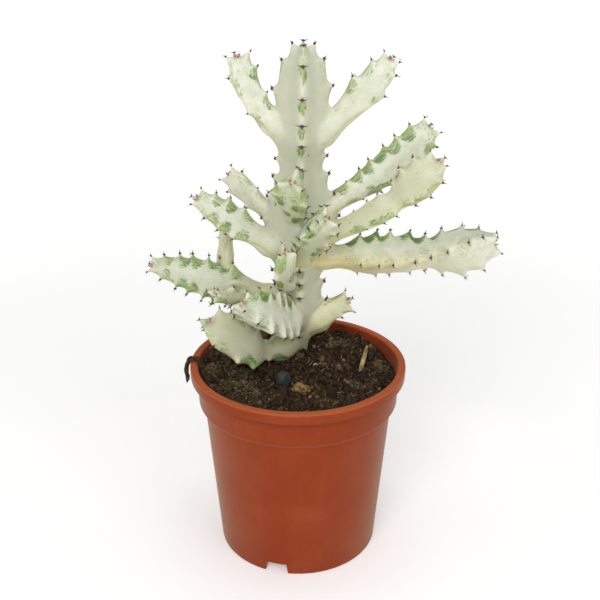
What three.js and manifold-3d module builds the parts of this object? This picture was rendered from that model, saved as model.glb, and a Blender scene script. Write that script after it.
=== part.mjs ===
// A potted euphorbia: a pale, ribbed, many-branched succulent in a round nursery pot.
// Millimetres, +Z up. The origin is the centre of the pot's foot, on the surface it stands on,
// and the plant is seen from -Y.
import * as THREE from 'three';
import Module from 'manifold-3d';
import { mergeVertices } from 'three/addons/utils/BufferGeometryUtils.js';

const wasm = await Module();
wasm.setup();

// ---- driving dimensions ------------------------------------------------------------------
const CLEARANCE = 0.3; // gap kept between pieces that touch

const POT = {
  height: 121,
  rimRadius: 65,
  mouthRadius: 60.2,
  lipHeight: 5.5,
  bandHeight: 24.5, // from the step up to the rim
  bandRadius: 60.9,
  stepRadius: 57,
  footRadius: 48.8,
  wall: 1.7,
  floorHeight: 6.5, // underside of the raised floor
  footWidth: 4,
  padRadius: 17, // flat pad under the middle, level with the foot
  sides: 48,
};
const NOTCH = { count: 3, width: 13, height: 6, topWidth: 10.4, firstBearing: -104.7 };

const SOIL = {
  level: 114.5, // mean height of the surface
  mound: 3.6, // heaped round the main stem
  moundReach: 22,
  tilt: 0.045, // higher at the front left than at the back right
  bump: 0.9,
  rings: 8,
  sides: 32,
};

// Teeth along a rib: a long hollow rise, a peak, then a short steep drop.
const TOOTH = { drop: 0.22, middle: 0.62, middleRise: 0.27 }; // places along one spacing, and height
const RIB_STAGGER = [0, 0.34, -0.3, 0.16]; // of one tooth spacing, rib by rib
const SECTION = { // by the number of ribs: how full the hollows are, and the flank of a rib
  3: { core: 0.54, shoulderAngle: 0.26, shoulder: 0.36 },
  4: { core: 0.6, shoulderAngle: 0.28, shoulder: 0.4 },
};
const FLARE = { swell: 0.38, at: 15, reach: 7 }; // where a side stem leaves its parent
const CROWN = { forward: 1.6, back: 1.4 }; // last teeth lean past the tip, the hollows fall short
const UPRIGHT = { forward: 0, back: 0 };
const UNEVEN = { share: 0.12, turn: 2.4 }; // of one spacing, how far a tooth strays from its even place
const NECK = { bare: 0.42, toothShare: 0.2 }; // bare up to this share of firstTooth, then small teeth
const TAPER_POWER = 2.4; // how suddenly a stem narrows towards its tip
const SPINE = { // a pair on every second tooth
  length: 3.6, radius: 0.42, sunk: 0.9, spread: 0.85, rise: 0.15, every: 2,
};

// Each stem runs on a curve from root, on its parent's axis, past bend to tip. crest is its radius
// at a tooth, neck its radius where it leaves its parent. It has its first tooth at firstTooth along
// the curve, its full width at full, and narrows to tipWidth of it over its last taper. tooth is how
// far a tooth stands up, and crowding over 1 draws the lower teeth together. facing is the way its
// first rib looks, turned by roll degrees. swells are the bulges and waists left by each season's
// growth: by is the share of the width gained or lost.
const MAIN_STEM = {
  name: 'main_stem',
  root: [0.5, 27, 98], bend: [1, 13, 210], tip: [3, 8, 307],
  crest: 17.5, neck: 5.5, full: 56, ribs: 4, teeth: 16, tooth: 3.2, roll: 0, crowding: 1.12,
  firstTooth: 34, taper: 34, tipWidth: 0.36, facing: [0, -1, 0],
  swells: [
    { at: 67, by: -0.15, reach: 13 },
    { at: 100, by: 0.36, reach: 21 },
    { at: 142, by: -0.16, reach: 11 },
    { at: 161, by: 0.14, reach: 9 },
  ],
};

const SIDE_STEM = {
  ribs: 3, tooth: 4, firstTooth: 24, crowding: 1, taper: 14, tipWidth: 0.62, facing: [0, 0, 1],
  swells: [],
};
const SIDE_STEMS = [
  {
    name: 'side_stem_top_left', on: 'main_stem',
    root: [-1, 11, 256], bend: [-22.5, 11.5, 271], tip: [-33, 14, 300.5],
    crest: 10.6, neck: 5.8, full: 40, teeth: 3, roll: -12, firstTooth: 32, tipWidth: 0.78,
  },
  {
    name: 'side_stem_top_right', on: 'main_stem',
    root: [1, 11, 250.5], bend: [31.5, 12.5, 270], tip: [51, 14, 299],
    crest: 12.3, neck: 6.8, full: 48, teeth: 3, roll: 12, firstTooth: 50, taper: 22, tipWidth: 0.5,
  },
  {
    name: 'side_stem_left_upper', on: 'main_stem',
    root: [-3.5, 17, 194.5], bend: [-24.5, 26.5, 215], tip: [-41, 34, 228],
    crest: 11, neck: 5, full: 40, teeth: 3, roll: -12, firstTooth: 31, taper: 20, tipWidth: 0.6,
  },
  {
    name: 'side_stem_left_middle', on: 'main_stem',
    root: [-3.5, 16, 184], bend: [-33, 8, 203], tip: [-57.5, 4, 223],
    crest: 13, neck: 6.8, full: 40, teeth: 4, roll: -12, firstTooth: 36, taper: 30, tipWidth: 0.5,
  },
  {
    name: 'side_stem_left_long', on: 'main_stem',
    root: [-1, 21, 149.5], bend: [-45.5, 26.5, 162], tip: [-89, 26, 173.5],
    crest: 16.8, neck: 6, full: 50, teeth: 7, roll: -6, firstTooth: 44, taper: 46, tipWidth: 0.26,
  },
  {
    name: 'side_stem_left_riser', on: 'side_stem_left_long',
    root: [-45, 27, 162], bend: [-44, 30, 181], tip: [-43, 36, 207],
    crest: 7, neck: 3.9, full: 44, teeth: 2, roll: 0, firstTooth: 30, facing: [0, -1, 0],
  },
  {
    name: 'side_stem_left_bud', on: 'side_stem_left_long',
    root: [-29, 22, 156], bend: [-40.5, 9, 161], tip: [-49, -2, 165.5],
    crest: 8.5, neck: 5, full: 26, teeth: 2, roll: -40, firstTooth: 22,
  },
  {
    name: 'side_stem_front_low', on: 'main_stem',
    root: [-3, 18, 144], bend: [-12, -8, 155], tip: [-35, -26, 173],
    crest: 14.7, neck: 8.5, full: 32, teeth: 6, roll: -12, firstTooth: 26, taper: 20, tipWidth: 0.5,
  },
  {
    name: 'side_stem_front_upright', on: 'main_stem',
    root: [-4, 17, 167], bend: [-9.5, -15, 165], tip: [-4.5, -22, 198],
    crest: 9, neck: 6.5, full: 40, teeth: 3, roll: 180, firstTooth: 36,
  },
  {
    name: 'side_stem_front_upper', on: 'main_stem',
    root: [0, 14, 209], bend: [-3.5, -10, 218], tip: [-3, -31, 243],
    crest: 13, neck: 6.5, full: 42, teeth: 3, roll: 0, firstTooth: 30, tipWidth: 0.55,
  },
  {
    name: 'side_stem_front_right', on: 'main_stem',
    root: [1, 16, 181], bend: [2, -10, 199], tip: [15.5, -30, 222],
    crest: 12, neck: 6.5, full: 38, teeth: 5, roll: 0, firstTooth: 28,
  },
  {
    name: 'side_stem_right_upper', on: 'main_stem',
    root: [1, 15, 207.5], bend: [45, 22.5, 223], tip: [76.5, 28, 258],
    crest: 13.8, neck: 5.7, full: 62, teeth: 7, roll: 12, firstTooth: 34, taper: 18, tipWidth: 0.55,
  },
  {
    name: 'side_stem_right_middle', on: 'main_stem',
    root: [1, 15, 193.5], bend: [52.5, 4.5, 208], tip: [78.5, 0, 246],
    crest: 15, neck: 5.6, full: 84, teeth: 7, roll: 10, firstTooth: 38, taper: 16, tipWidth: 0.5,
    swells: [{ at: 60, by: -0.12, reach: 7 }],
  },
  {
    name: 'side_stem_right_long', on: 'main_stem',
    root: [1, 16, 184], bend: [64, -1, 184.5], tip: [112.5, -6, 200],
    crest: 18, neck: 6, full: 46, teeth: 9, roll: -32, firstTooth: 36, taper: 20, tipWidth: 0.5,
    swells: [{ at: 54, by: -0.1, reach: 14 }, { at: 76, by: -0.28, reach: 10 }],
  },
  {
    name: 'side_stem_right_low', on: 'main_stem',
    root: [1, 23, 130], bend: [15, 23, 143.5], tip: [31, 22, 151],
    crest: 9.5, neck: 7, full: 34, teeth: 2, roll: 12, firstTooth: 27, tipWidth: 0.9,
  },
  {
    name: 'side_stem_soil_left', on: 'main_stem',
    root: [0, 24, 125], bend: [-23, -3, 117], tip: [-52, -8, 151.5],
    crest: 15, neck: 6.4, full: 46, teeth: 4, roll: -10, firstTooth: 30,
  },
].map((stem) => ({ ...SIDE_STEM, ...stem }));

// ---- finishes ----------------------------------------------------------------------------
const finish = (color, roughness) => new THREE.MeshStandardMaterial({ color, roughness, metalness: 0 });
const TERRACOTTA = finish('#b0532f', 0.45);
const PEAT = finish('#33261c', 0.95);
const PALE_STEM = finish('#d3d8c2', 0.5);
const SLATE = finish('#3b4348', 0.8);
const BARK = finish('#9a7550', 0.9);
const STRAW = finish('#c9b184', 0.8);
const ROOT = finish('#3e2c20', 0.9);

// ---- solids ------------------------------------------------------------------------------
function solid(geometry) {
  const bare = geometry.index ? geometry.clone() : geometry;
  bare.deleteAttribute('normal');
  bare.deleteAttribute('uv');
  const merged = mergeVertices(bare, 1e-4);
  return new wasm.Manifold(new wasm.Mesh({
    numProp: 3,
    vertProperties: new Float32Array(merged.attributes.position.array),
    triVerts: new Uint32Array(merged.index.array),
  }));
}

function named(name, body, material) {
  const { vertProperties, triVerts } = body.getMesh();
  const geometry = new THREE.BufferGeometry();
  geometry.setAttribute('position', new THREE.BufferAttribute(vertProperties, 3));
  geometry.setIndex(new THREE.BufferAttribute(triVerts, 1));
  geometry.computeVertexNormals();
  const mesh = new THREE.Mesh(geometry, material);
  mesh.name = name;
  return mesh;
}

const larger = (one, other) => (one.volume() > other.volume() ? one : other);
const largest = (body) => body.decompose().reduce(larger);
const smooth = (x) => THREE.MathUtils.smoothstep(x, 0, 1);
const polar = (radius, degrees) => {
  const angle = THREE.MathUtils.degToRad(degrees);
  return [radius * Math.cos(angle), radius * Math.sin(angle)];
};

// A closed skin over rings of points that run round, with a point at each end.
function skin(rings, start, end) {
  const around = rings[0].length;
  const points = [start, ...rings.flat(), end];
  const last = points.length - 1;
  const at = (ring, column) => 1 + ring * around + (column % around);
  const faces = [];
  for (let column = 0; column < around; column += 1) {
    faces.push(0, at(0, column + 1), at(0, column));
    for (let ring = 0; ring + 1 < rings.length; ring += 1) {
      faces.push(at(ring, column), at(ring, column + 1), at(ring + 1, column + 1));
      faces.push(at(ring, column), at(ring + 1, column + 1), at(ring + 1, column));
    }
    faces.push(last, at(rings.length - 1, column), at(rings.length - 1, column + 1));
  }
  const geometry = new THREE.BufferGeometry().setFromPoints(points);
  geometry.setIndex(faces);
  return geometry;
}

// ---- stems -------------------------------------------------------------------------------
// The centre line in steps of about a millimetre, with two cross directions carried along it.
function spineLine(stem) {
  const curve = new THREE.QuadraticBezierCurve3(
    new THREE.Vector3(...stem.root), new THREE.Vector3(...stem.bend), new THREE.Vector3(...stem.tip));
  const length = curve.getLength();
  const count = Math.round(length);
  const across = new THREE.Vector3(...stem.facing);
  const stations = [];
  for (let i = 0; i <= count; i += 1) {
    const along = curve.getTangentAt(i / count);
    across.addScaledVector(along, -across.dot(along)).normalize();
    const side = new THREE.Vector3().crossVectors(along, across);
    stations.push({ point: curve.getPointAt(i / count), along, up: across.clone(), side });
  }
  return { length, stations };
}

function stationAt(line, distance) {
  const last = line.stations.length - 1;
  const index = THREE.MathUtils.clamp(Math.round((distance / line.length) * last), 0, last);
  return { ...line.stations[index], past: distance - (index / last) * line.length };
}

function pointOn(line, distance, angle, radius) {
  const { point, along, up, side, past } = stationAt(line, distance);
  return point.clone()
    .addScaledVector(along, past)
    .addScaledVector(up, radius * Math.cos(angle))
    .addScaledVector(side, radius * Math.sin(angle));
}

// How far a stem has swelled from its round neck to its full ribs, 0 to 1.
function ripeness(stem, distance) {
  const start = stem.firstTooth / 2;
  return smooth((distance - start) / (stem.full - start));
}

function girth(stem, length, distance) {
  const ripe = ripeness(stem, distance);
  const past = Math.max(0, (distance - (length - stem.taper)) / stem.taper);
  const narrowing = 1 - (1 - stem.tipWidth) * past ** TAPER_POWER;
  const swell = stem.swells.reduce(
    (sum, { at, by, reach }) => sum + by * Math.exp(-(((distance - at) / reach) ** 2)), 0);
  const flare = stem.on ? FLARE.swell * Math.exp(-(((distance - FLARE.at) / FLARE.reach) ** 2)) : 0;
  const neck = stem.neck * (1 + flare);
  const width = narrowing * (1 + swell);
  return {
    crest: (neck + (stem.crest - neck) * ripe) * width,
    core: (neck + (stem.crest * SECTION[stem.ribs].core - neck) * ripe) * width,
    tooth: stem.tooth * (NECK.toothShare + (1 - NECK.toothShare) * ripe) * narrowing,
  };
}

// Where the teeth stand: nearer each other low on a crowded stem, and never quite evenly.
function toothRows(stem, length) {
  const spacing = (length - stem.firstTooth) / (stem.teeth - 1);
  const rows = [];
  for (let tooth = 0; tooth < stem.teeth; tooth += 1) {
    const share = (tooth / (stem.teeth - 1)) ** stem.crowding;
    const isEnd = tooth === 0 || tooth === stem.teeth - 1;
    const uneven = isEnd ? 0 : UNEVEN.share * spacing * Math.sin(UNEVEN.turn * tooth);
    rows.push(stem.firstTooth + share * (length - stem.firstTooth) + uneven);
  }
  return rows;
}

// Distances of the rings, each with how far its rib stands up to the tooth's full height.
function ringPlan(stem, length) {
  const rows = toothRows(stem, length);
  const plan = [{ at: 0, height: 0 }, { at: stem.firstTooth * NECK.bare, height: 0 }];
  const before = stem.firstTooth - (rows[1] - rows[0]) * (1 - TOOTH.middle);
  if (before > plan[1].at + 1) plan.push({ at: before, height: TOOTH.middleRise });
  rows.forEach((peak, tooth) => {
    plan.push({ at: peak, height: 1 });
    if (tooth === rows.length - 1) return;
    const spacing = rows[tooth + 1] - peak;
    plan.push({ at: peak + TOOTH.drop * spacing, height: 0 });
    plan.push({ at: peak + TOOTH.middle * spacing, height: TOOTH.middleRise });
  });
  return { spacing: (length - stem.firstTooth) / (stem.teeth - 1), plan };
}

// The shift along the stem that staggers one rib's teeth against the next's. It fades at both ends.
function stagger(stem, length, spacing, rib, distance) {
  const fade = Math.min(smooth(distance / stem.firstTooth), smooth((length - distance) / (1.5 * spacing)));
  return RIB_STAGGER[rib % stem.ribs] * spacing * fade;
}

function stemBody(stem, extra = 0) {
  const line = spineLine(stem);
  const { length } = line;
  const { spacing, plan } = ringPlan(stem, length);
  const { shoulderAngle, shoulder } = SECTION[stem.ribs];
  const step = (2 * Math.PI) / stem.ribs;
  const roll = THREE.MathUtils.degToRad(stem.roll);
  const rings = plan.map(({ at, height }) => {
    const { crest, core, tooth } = girth(stem, length, at);
    const edge = crest - tooth * (1 - height);
    const flank = core + (edge - core) * shoulder;
    const lean = height === 1 && at > length - 1 ? CROWN : UPRIGHT;
    const ring = [];
    for (let rib = 0; rib < stem.ribs; rib += 1) {
      const angle = roll + rib * step;
      const here = at + stagger(stem, length, spacing, rib, at);
      const next = at + stagger(stem, length, spacing, rib + 1, at);
      ring.push(pointOn(line, here + lean.forward, angle, edge + extra));
      ring.push(pointOn(line, here, angle + shoulderAngle * step * 0.5, flank + extra));
      ring.push(pointOn(line, (here + next) / 2 - lean.back, angle + step * 0.5, core + extra));
      ring.push(pointOn(line, next, angle + step - shoulderAngle * step * 0.5, flank + extra));
    }
    return ring;
  });
  return skin(rings, pointOn(line, -extra, 0, 0), pointOn(line, length + extra, 0, 0));
}

// The tips of the ribs' teeth, each with the directions out, along and sideways.
function toothTips(stem) {
  const line = spineLine(stem);
  const { length } = line;
  const { spacing, plan } = ringPlan(stem, length);
  const tips = [];
  plan.filter((ring) => ring.height === 1).forEach(({ at }, row) => {
    for (let rib = 0; rib < stem.ribs; rib += 1) {
      const angle = THREE.MathUtils.degToRad(stem.roll) + (rib * 2 * Math.PI) / stem.ribs;
      const lean = row === stem.teeth - 1 ? CROWN.forward : 0;
      const here = at + stagger(stem, length, spacing, rib, at) + lean;
      const { crest } = girth(stem, length, at);
      const point = pointOn(line, here, angle, crest);
      const { along } = stationAt(line, here);
      const out = pointOn(line, here, angle, crest + 1).sub(point);
      tips.push({ point, out, along, sideways: new THREE.Vector3().crossVectors(along, out), row, rib });
    }
  });
  return tips;
}

// One slim three-sided spine, its foot sunk in the tooth.
function spineSolid(tip, hand) {
  const way = tip.out.clone()
    .addScaledVector(tip.sideways, hand * SPINE.spread)
    .addScaledVector(tip.along, SPINE.rise)
    .normalize();
  const geometry = new THREE.ConeGeometry(SPINE.radius, SPINE.length + SPINE.sunk, 3);
  geometry.translate(0, (SPINE.length + SPINE.sunk) / 2, 0);
  geometry.applyQuaternion(new THREE.Quaternion().setFromUnitVectors(new THREE.Vector3(0, 1, 0), way));
  const foot = tip.point.clone().addScaledVector(tip.out, -SPINE.sunk);
  geometry.translate(foot.x, foot.y, foot.z);
  return { body: solid(geometry), end: foot.addScaledVector(way, SPINE.length + SPINE.sunk) };
}

// Whether a point stands clear of the soil and of every stem but its own.
function clearOfOthers(point, own, lines) {
  if (point.z < soilHeight(point.x, point.y) + SOIL.bump) return false;
  return lines.every(({ stem, line }) => stem === own || line.stations.every(
    (station) => station.point.distanceTo(point) > stem.crest + SPINE.radius));
}

function makeStems() {
  const stems = [MAIN_STEM, ...SIDE_STEMS];
  const lines = stems.map((stem) => ({ stem, line: spineLine(stem) }));
  const grown = new Map(stems.map((stem) => [stem.name, solid(stemBody(stem, CLEARANCE))]));
  return stems.map((stem) => {
    let body = solid(stemBody(stem));
    toothTips(stem).forEach((tip) => {
      const isCrown = tip.row === stem.teeth - 1;
      if (!isCrown && (tip.row + tip.rib) % SPINE.every > 0) return;
      const pair = [spineSolid(tip, 1), spineSolid(tip, -1)];
      if (!pair.every(({ end }) => clearOfOthers(end, stem, lines))) return;
      pair.forEach((spine) => { body = body.add(spine.body); });
    });
    // It is cut back from the stems made before it, its parent among them, and seats against them.
    const before = stems.slice(0, stems.indexOf(stem));
    before.forEach((other) => { body = body.subtract(grown.get(other.name)); });
    return named(stem.name, largest(body), PALE_STEM);
  });
}

// ---- pot ---------------------------------------------------------------------------------
const SHELF = POT.height - POT.bandHeight; // height of the step in the wall
const wallRadius = (z) => POT.footRadius + (POT.stepRadius - POT.footRadius) * (z / SHELF);
const profile = (points, sides) => {
  const lathe = new THREE.LatheGeometry(points.map(([r, z]) => new THREE.Vector2(r, z)), sides);
  return lathe.rotateX(Math.PI / 2);
};

function potSolid() {
  const { height, rimRadius, mouthRadius, lipHeight, bandRadius, wall } = POT;
  const floor = POT.floorHeight;
  let body = solid(profile([
    [0, 0],
    [POT.padRadius, 0],
    [POT.padRadius + 2, floor - 1.5],
    [POT.footRadius - POT.footWidth - 1, floor - 1.5],
    [POT.footRadius - POT.footWidth, 0],
    [POT.footRadius, 0],
    [POT.stepRadius, SHELF - 1],
    [bandRadius, SHELF + 0.6],
    [bandRadius + 1.1, height - lipHeight - 0.6],
    [rimRadius, height - lipHeight],
    [rimRadius, height - 1],
    [rimRadius - 1, height],
    [mouthRadius, height],
    [bandRadius - wall, SHELF + 1.5],
    [POT.stepRadius - wall, SHELF - 2],
    [wallRadius(floor) - wall, floor + wall],
    [0, floor + wall],
  ], POT.sides));
  for (let i = 0; i < NOTCH.count; i += 1) {
    body = body.subtract(notchCutter(NOTCH.firstBearing + (i * 360) / NOTCH.count));
  }
  return body;
}

// A wedge that opens one drain notch in the foot, narrower at its top.
function notchCutter(bearing) {
  const half = NOTCH.width / 2;
  const topHalf = NOTCH.topWidth / 2;
  const shape = new THREE.Shape([
    new THREE.Vector2(-half, -1),
    new THREE.Vector2(half, -1),
    new THREE.Vector2(topHalf, NOTCH.height),
    new THREE.Vector2(-topHalf, NOTCH.height),
  ]);
  const depth = POT.footWidth + 6;
  const geometry = new THREE.ExtrudeGeometry(shape, { depth, bevelEnabled: false });
  geometry.rotateX(Math.PI / 2);
  geometry.rotateZ(THREE.MathUtils.degToRad(bearing) + Math.PI / 2);
  const [x, y] = polar(POT.footRadius - POT.footWidth - 2, bearing);
  geometry.translate(x, y, 0);
  return solid(geometry);
}

// ---- soil and what lies on it ------------------------------------------------------------
function soilHeight(x, y) {
  const [stemX, stemY] = MAIN_STEM.root;
  const away = Math.hypot(x - stemX, y - stemY);
  const heap = SOIL.mound * Math.exp(-((away / SOIL.moundReach) ** 2));
  const ripple = Math.sin(x * 0.31 + 1.2) * Math.cos(y * 0.27) + Math.sin(x * 0.13 - y * 0.19);
  return SOIL.level + heap - SOIL.tilt * (x + y) + SOIL.bump * ripple;
}

function soilSolid(stuckIn) {
  const base = POT.floorHeight + POT.wall + CLEARANCE;
  const gap = POT.wall + 2 * CLEARANCE;
  const edge = POT.bandRadius - gap;
  const rings = [
    { radius: wallRadius(base) - gap, z: base },
    { radius: POT.stepRadius - gap, z: SHELF - 2 },
    { radius: edge, z: SHELF + 2.5 },
  ];
  for (let i = 0; i < SOIL.rings; i += 1) rings.push({ radius: edge * (1 - i / SOIL.rings) });
  const points = rings.map(({ radius, z }) => Array.from({ length: SOIL.sides }, (_, i) => {
    const [x, y] = polar(radius, (i * 360) / SOIL.sides);
    return new THREE.Vector3(x, y, z ?? soilHeight(x, y));
  }));
  const top = new THREE.Vector3(0, 0, soilHeight(0, 0));
  let soil = solid(skin(points, new THREE.Vector3(0, 0, base), top));
  stuckIn.forEach((piece) => { soil = soil.subtract(piece); });
  return largest(soil);
}

// A stone or chip: a many-sided ball pulled to size and knocked out of round.
function lumpSolid({ place, size, turn, rough }, extra = 0) {
  const ball = new THREE.IcosahedronGeometry(0.5, 1);
  const { position } = ball.attributes;
  const point = new THREE.Vector3();
  for (let i = 0; i < position.count; i += 1) {
    point.fromBufferAttribute(position, i);
    const dent = 1 + rough * Math.sin(point.x * 9 + 1) * Math.cos(point.y * 7 - point.z * 8);
    point.multiplyScalar(dent);
    position.setXYZ(i, point.x, point.y, point.z);
  }
  ball.scale(...size.map((length) => length + 2 * extra));
  ball.rotateZ(THREE.MathUtils.degToRad(turn));
  ball.translate(...place);
  return solid(ball);
}

// A round strand through points, such as a root or a straw.
function strandSolid({ points, radius, sides, steps }, extra = 0) {
  const path = new THREE.CatmullRomCurve3(points.map((point) => new THREE.Vector3(...point)));
  const outline = new THREE.Shape(Array.from({ length: sides }, (_, i) => (
    new THREE.Vector2(...polar(radius + extra, (i * 360) / sides)))));
  return solid(new THREE.ExtrudeGeometry(outline, { steps, extrudePath: path, bevelEnabled: false }));
}

const onSoil = (x, y, lift) => [x, y, soilHeight(x, y) + lift];
const PEBBLE = { place: onSoil(-8.5, -19, 1.2), size: [9.5, 10, 7.5], turn: 25, rough: 0.14 };
const GRIT = { place: onSoil(10.5, 4, 0.3), size: [3.4, 2.6, 2.4], turn: 60, rough: 0.12 };
const BARK_CHIP = { place: onSoil(1.5, -29, 0.6), size: [10.5, 6.5, 3.6], turn: -20, rough: 0.16 };
const STRAW_BIT = {
  points: [[37, 1, 108], [38.6, 4, 115], [40.6, 7.5, 121], [42.4, 11, 126]],
  radius: 1, sides: 6, steps: 6,
};
const ROOT_OVER_RIM = {
  points: [[-54, -7, 110], [-57, -5, 118], [-60, -2.5, 122.8], [-64.2, 0, 123], [-67, 0.5, 119.6],
    [-67.3, -2, 115], [-66.6, -6, 110.5]],
  radius: 1.2, sides: 6, steps: 12,
};

// ---- the whole object --------------------------------------------------------------------
const loose = [
  ['pebble', lumpSolid, PEBBLE, SLATE],
  ['grit', lumpSolid, GRIT, STRAW],
  ['bark_chip', lumpSolid, BARK_CHIP, BARK],
  ['straw', strandSolid, STRAW_BIT, STRAW],
  ['root_over_rim', strandSolid, ROOT_OVER_RIM, ROOT],
];
const sockets = loose.map(([, make, spec]) => make(spec, CLEARANCE));
const inSoil = [MAIN_STEM, ...SIDE_STEMS].filter((stem) => stem.root[2] < SOIL.level + stem.crest);
inSoil.forEach((stem) => sockets.push(solid(stemBody(stem, CLEARANCE))));

const object = new THREE.Group();
object.add(named('pot', potSolid(), TERRACOTTA));
object.add(named('soil', soilSolid(sockets), PEAT));
object.add(...makeStems());
loose.forEach(([name, make, spec, material]) => object.add(named(name, make(spec), material)));

export default object;
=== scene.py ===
"""A potted euphorbia: a pale, ribbed, many-branched succulent in a round plastic nursery pot.

Lengths are in millimetres until a mesh is made, which turns them to metres. +Z is up, the origin is
the centre of the pot's foot, and the plant is seen from -Y.
"""

import math
from types import SimpleNamespace as Named

import bmesh
import bpy
import numpy as np
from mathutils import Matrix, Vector


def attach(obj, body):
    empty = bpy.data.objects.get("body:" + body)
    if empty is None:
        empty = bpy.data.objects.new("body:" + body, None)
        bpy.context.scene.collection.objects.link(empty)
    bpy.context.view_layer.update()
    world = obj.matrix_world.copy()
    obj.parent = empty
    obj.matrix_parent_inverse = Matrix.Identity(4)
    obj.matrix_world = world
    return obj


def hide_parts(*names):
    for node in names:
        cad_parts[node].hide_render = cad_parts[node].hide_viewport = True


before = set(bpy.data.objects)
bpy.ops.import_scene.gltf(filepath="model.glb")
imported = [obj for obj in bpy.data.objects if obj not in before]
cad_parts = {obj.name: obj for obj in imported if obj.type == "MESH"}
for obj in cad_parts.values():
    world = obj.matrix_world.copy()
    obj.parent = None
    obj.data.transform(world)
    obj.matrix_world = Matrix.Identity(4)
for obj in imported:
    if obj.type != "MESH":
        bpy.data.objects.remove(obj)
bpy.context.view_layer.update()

MM = 0.001

# ---- camera and stage --------------------------------------------------------------------
CAMERA = Named(lens=60, distance=589, elevation=23.75, aim_height=161.3, aside=1.24)
FLOOR = Named(radius=3000, sides=96, below=0.05, near=200, far=1300, glow=0.42)
LAMP_AIM = (0, 0, 0.16)
LAMPS = (  # name, place in metres, size, watts
    ("key", (-0.3, -1.3, 1.2), 0.8, 12.5),
    ("fill", (0.9, -1.1, 1.1), 0.9, 3.5),
    ("top", (0.1, 0.2, 1.7), 0.9, 4.5),
)
WORLD_BRIGHTNESS = 0.34

# ---- pot: as its solid, but for a taller lip, a slimmer band and wider notches ------------
POT = Named(
    height=121, rim=65, mouth=60.2, lip=7.2, band_height=24.5, band=60.3, step=57, foot=48.8,
    wall=1.7, floor=6.5, foot_width=4, pad=17, sides=240, sharp_from=38,
)
SHELF = POT.height - POT.band_height
NOTCH = Named(count=3, width=14.8, height=7.4, top_width=12.6, first_bearing=-105.6)

# ---- soil --------------------------------------------------------------------------------
SOIL = Named(
    level=114.5, mound=3.6, reach=22, tilt=0.045, bump=0.9, edge=58.6, sides=330, rings=122,
    last_ring=0.012,  # of the edge
)
HEAPS = (  # centre, reach, height
    (40, 34, 26, 7.5), (2, 52, 20, 4), (-28, 44, 19, 6.5), (-50, 6, 22, 3), (-30, -22, 16, 1.5),
)
KEPT_CLEAR = (  # centre, reach
    (-8.5, -21, 6), (1.5, -31, 6.5), (10.5, 3, 2), (37, 0, 2), (6, -40, 2),
)
CRUMBS = ((1050, 2, 0.5, 1.4), (280, 3, 1.3, 3.4))  # number, detail, smallest, largest
FIBRE = Named(number=620, points=7)
MOSS_CUSHIONS = (  # centre, reach, number of shoots
    (-42, -8, 14, 430), (-33, -28, 13, 380), (-20, -38, 10, 170), (-46, 12, 9, 150),
    (24, 30, 9, 150), (47, 6, 8, 130), (36, -16, 7, 60), (14, -44, 7, 50),
)
MOSS_SQUASH = 0.8  # a cushion's depth over its width
ROOT_REACH = 68.8  # how far to the left the frayed root ends go

# ---- stems: close to their solids --------------------------------------------------------
TOOTH = Named(drop=0.22, fall=1.5, rise=1.96)  # share of a spacing, and how hollow each side is
CROWDED_AT_TIP = 0.3  # of a spacing
RIB_STAGGER = (0, 0.34, -0.3, 0.16)
CORE = {3: 0.54, 4: 0.6}  # width of the hollows between ribs, by the number of ribs
RIB_SHARPNESS = {3: 3.2, 4: 2.3}
RIDGE_ROUNDING = 0.03
FLARE = Named(swell=0.38, at=15, reach=7)  # where a side stem leaves its parent
CROWN = Named(forward=1.6, back=1.4, length=6)  # last teeth lean past the tip, hollows fall short
UNEVEN = Named(share=0.12, turn=2.4)  # shifts the teeth to and fro, by a share of a spacing
NECK = Named(bare=0.42, tooth_share=0.2)  # bare up to this share of first, then small teeth
TAPER_POWER = 2.4

# A stem runs on a curve from root, on its parent's axis, past bend to tip. crest is its radius at a
# tooth, neck its radius where it leaves its parent. Along the curve it has its first tooth at first
# and its full width at full, and it narrows to tip_width over its last taper. tooth is how far a tooth
# stands up, and pleats how far its fold runs down the face: 1 far, 3 hardly. The first rib looks the
# way of facing, turned by roll, and twist turns the ribs on their way to the tip. swells are bulges
# and waists: where, share of the width, reach.
# green, cream, lime, gold, grey and yellow say how much of its colour a stem has: green and lime
# under the teeth, gold along one lower rib, cream and grey all over, yellow at the neck. On the
# undersides the cream, grey, gold and the neck's yellow grow stronger: that part is painted shade.
# rib_green is the share of each rib.
MAIN_STEM = dict(
    name="main_stem", root=(0.5, 27, 98), bend=(1, 13, 210), tip=(3, 8, 307),
    crest=17.5, neck=5.5, full=56, ribs=4, teeth=16, tooth=3.2, roll=0, crowding=1.12, first=34,
    taper=34, tip_width=0.36, facing=(0, -1, 0), pleats=1.6, twist=0,
    swells=((67, -0.15, 13), (100, 0.36, 21), (142, -0.16, 11), (161, 0.14, 9)),
    green=1.2, rib_green=(1, 0.4, 0.5, 0.4), patch_width=0.5, patch_length=0.7,
    cream=0.2, lime=0, gold=0, grey=1.25,
)
SIDE_STEM = dict(
    ribs=3, tooth=4, first=24, crowding=1, taper=14, tip_width=0.62, facing=(0, 0, 1), pleats=2.2,
    twist=0, swells=(), green=0.8, rib_green=(1, 0.8, 0.8), patch_width=1, patch_length=1,
    cream=0.1, lime=0, gold=0, grey=0, yellow=1,
)


def side_stem(name, root, bend, tip, **more):
    """A side stem on its curve, like SIDE_STEM in all that isn't given."""
    return {**SIDE_STEM, "name": "side_stem_" + name, "root": root, "bend": bend, "tip": tip, **more}


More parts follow.
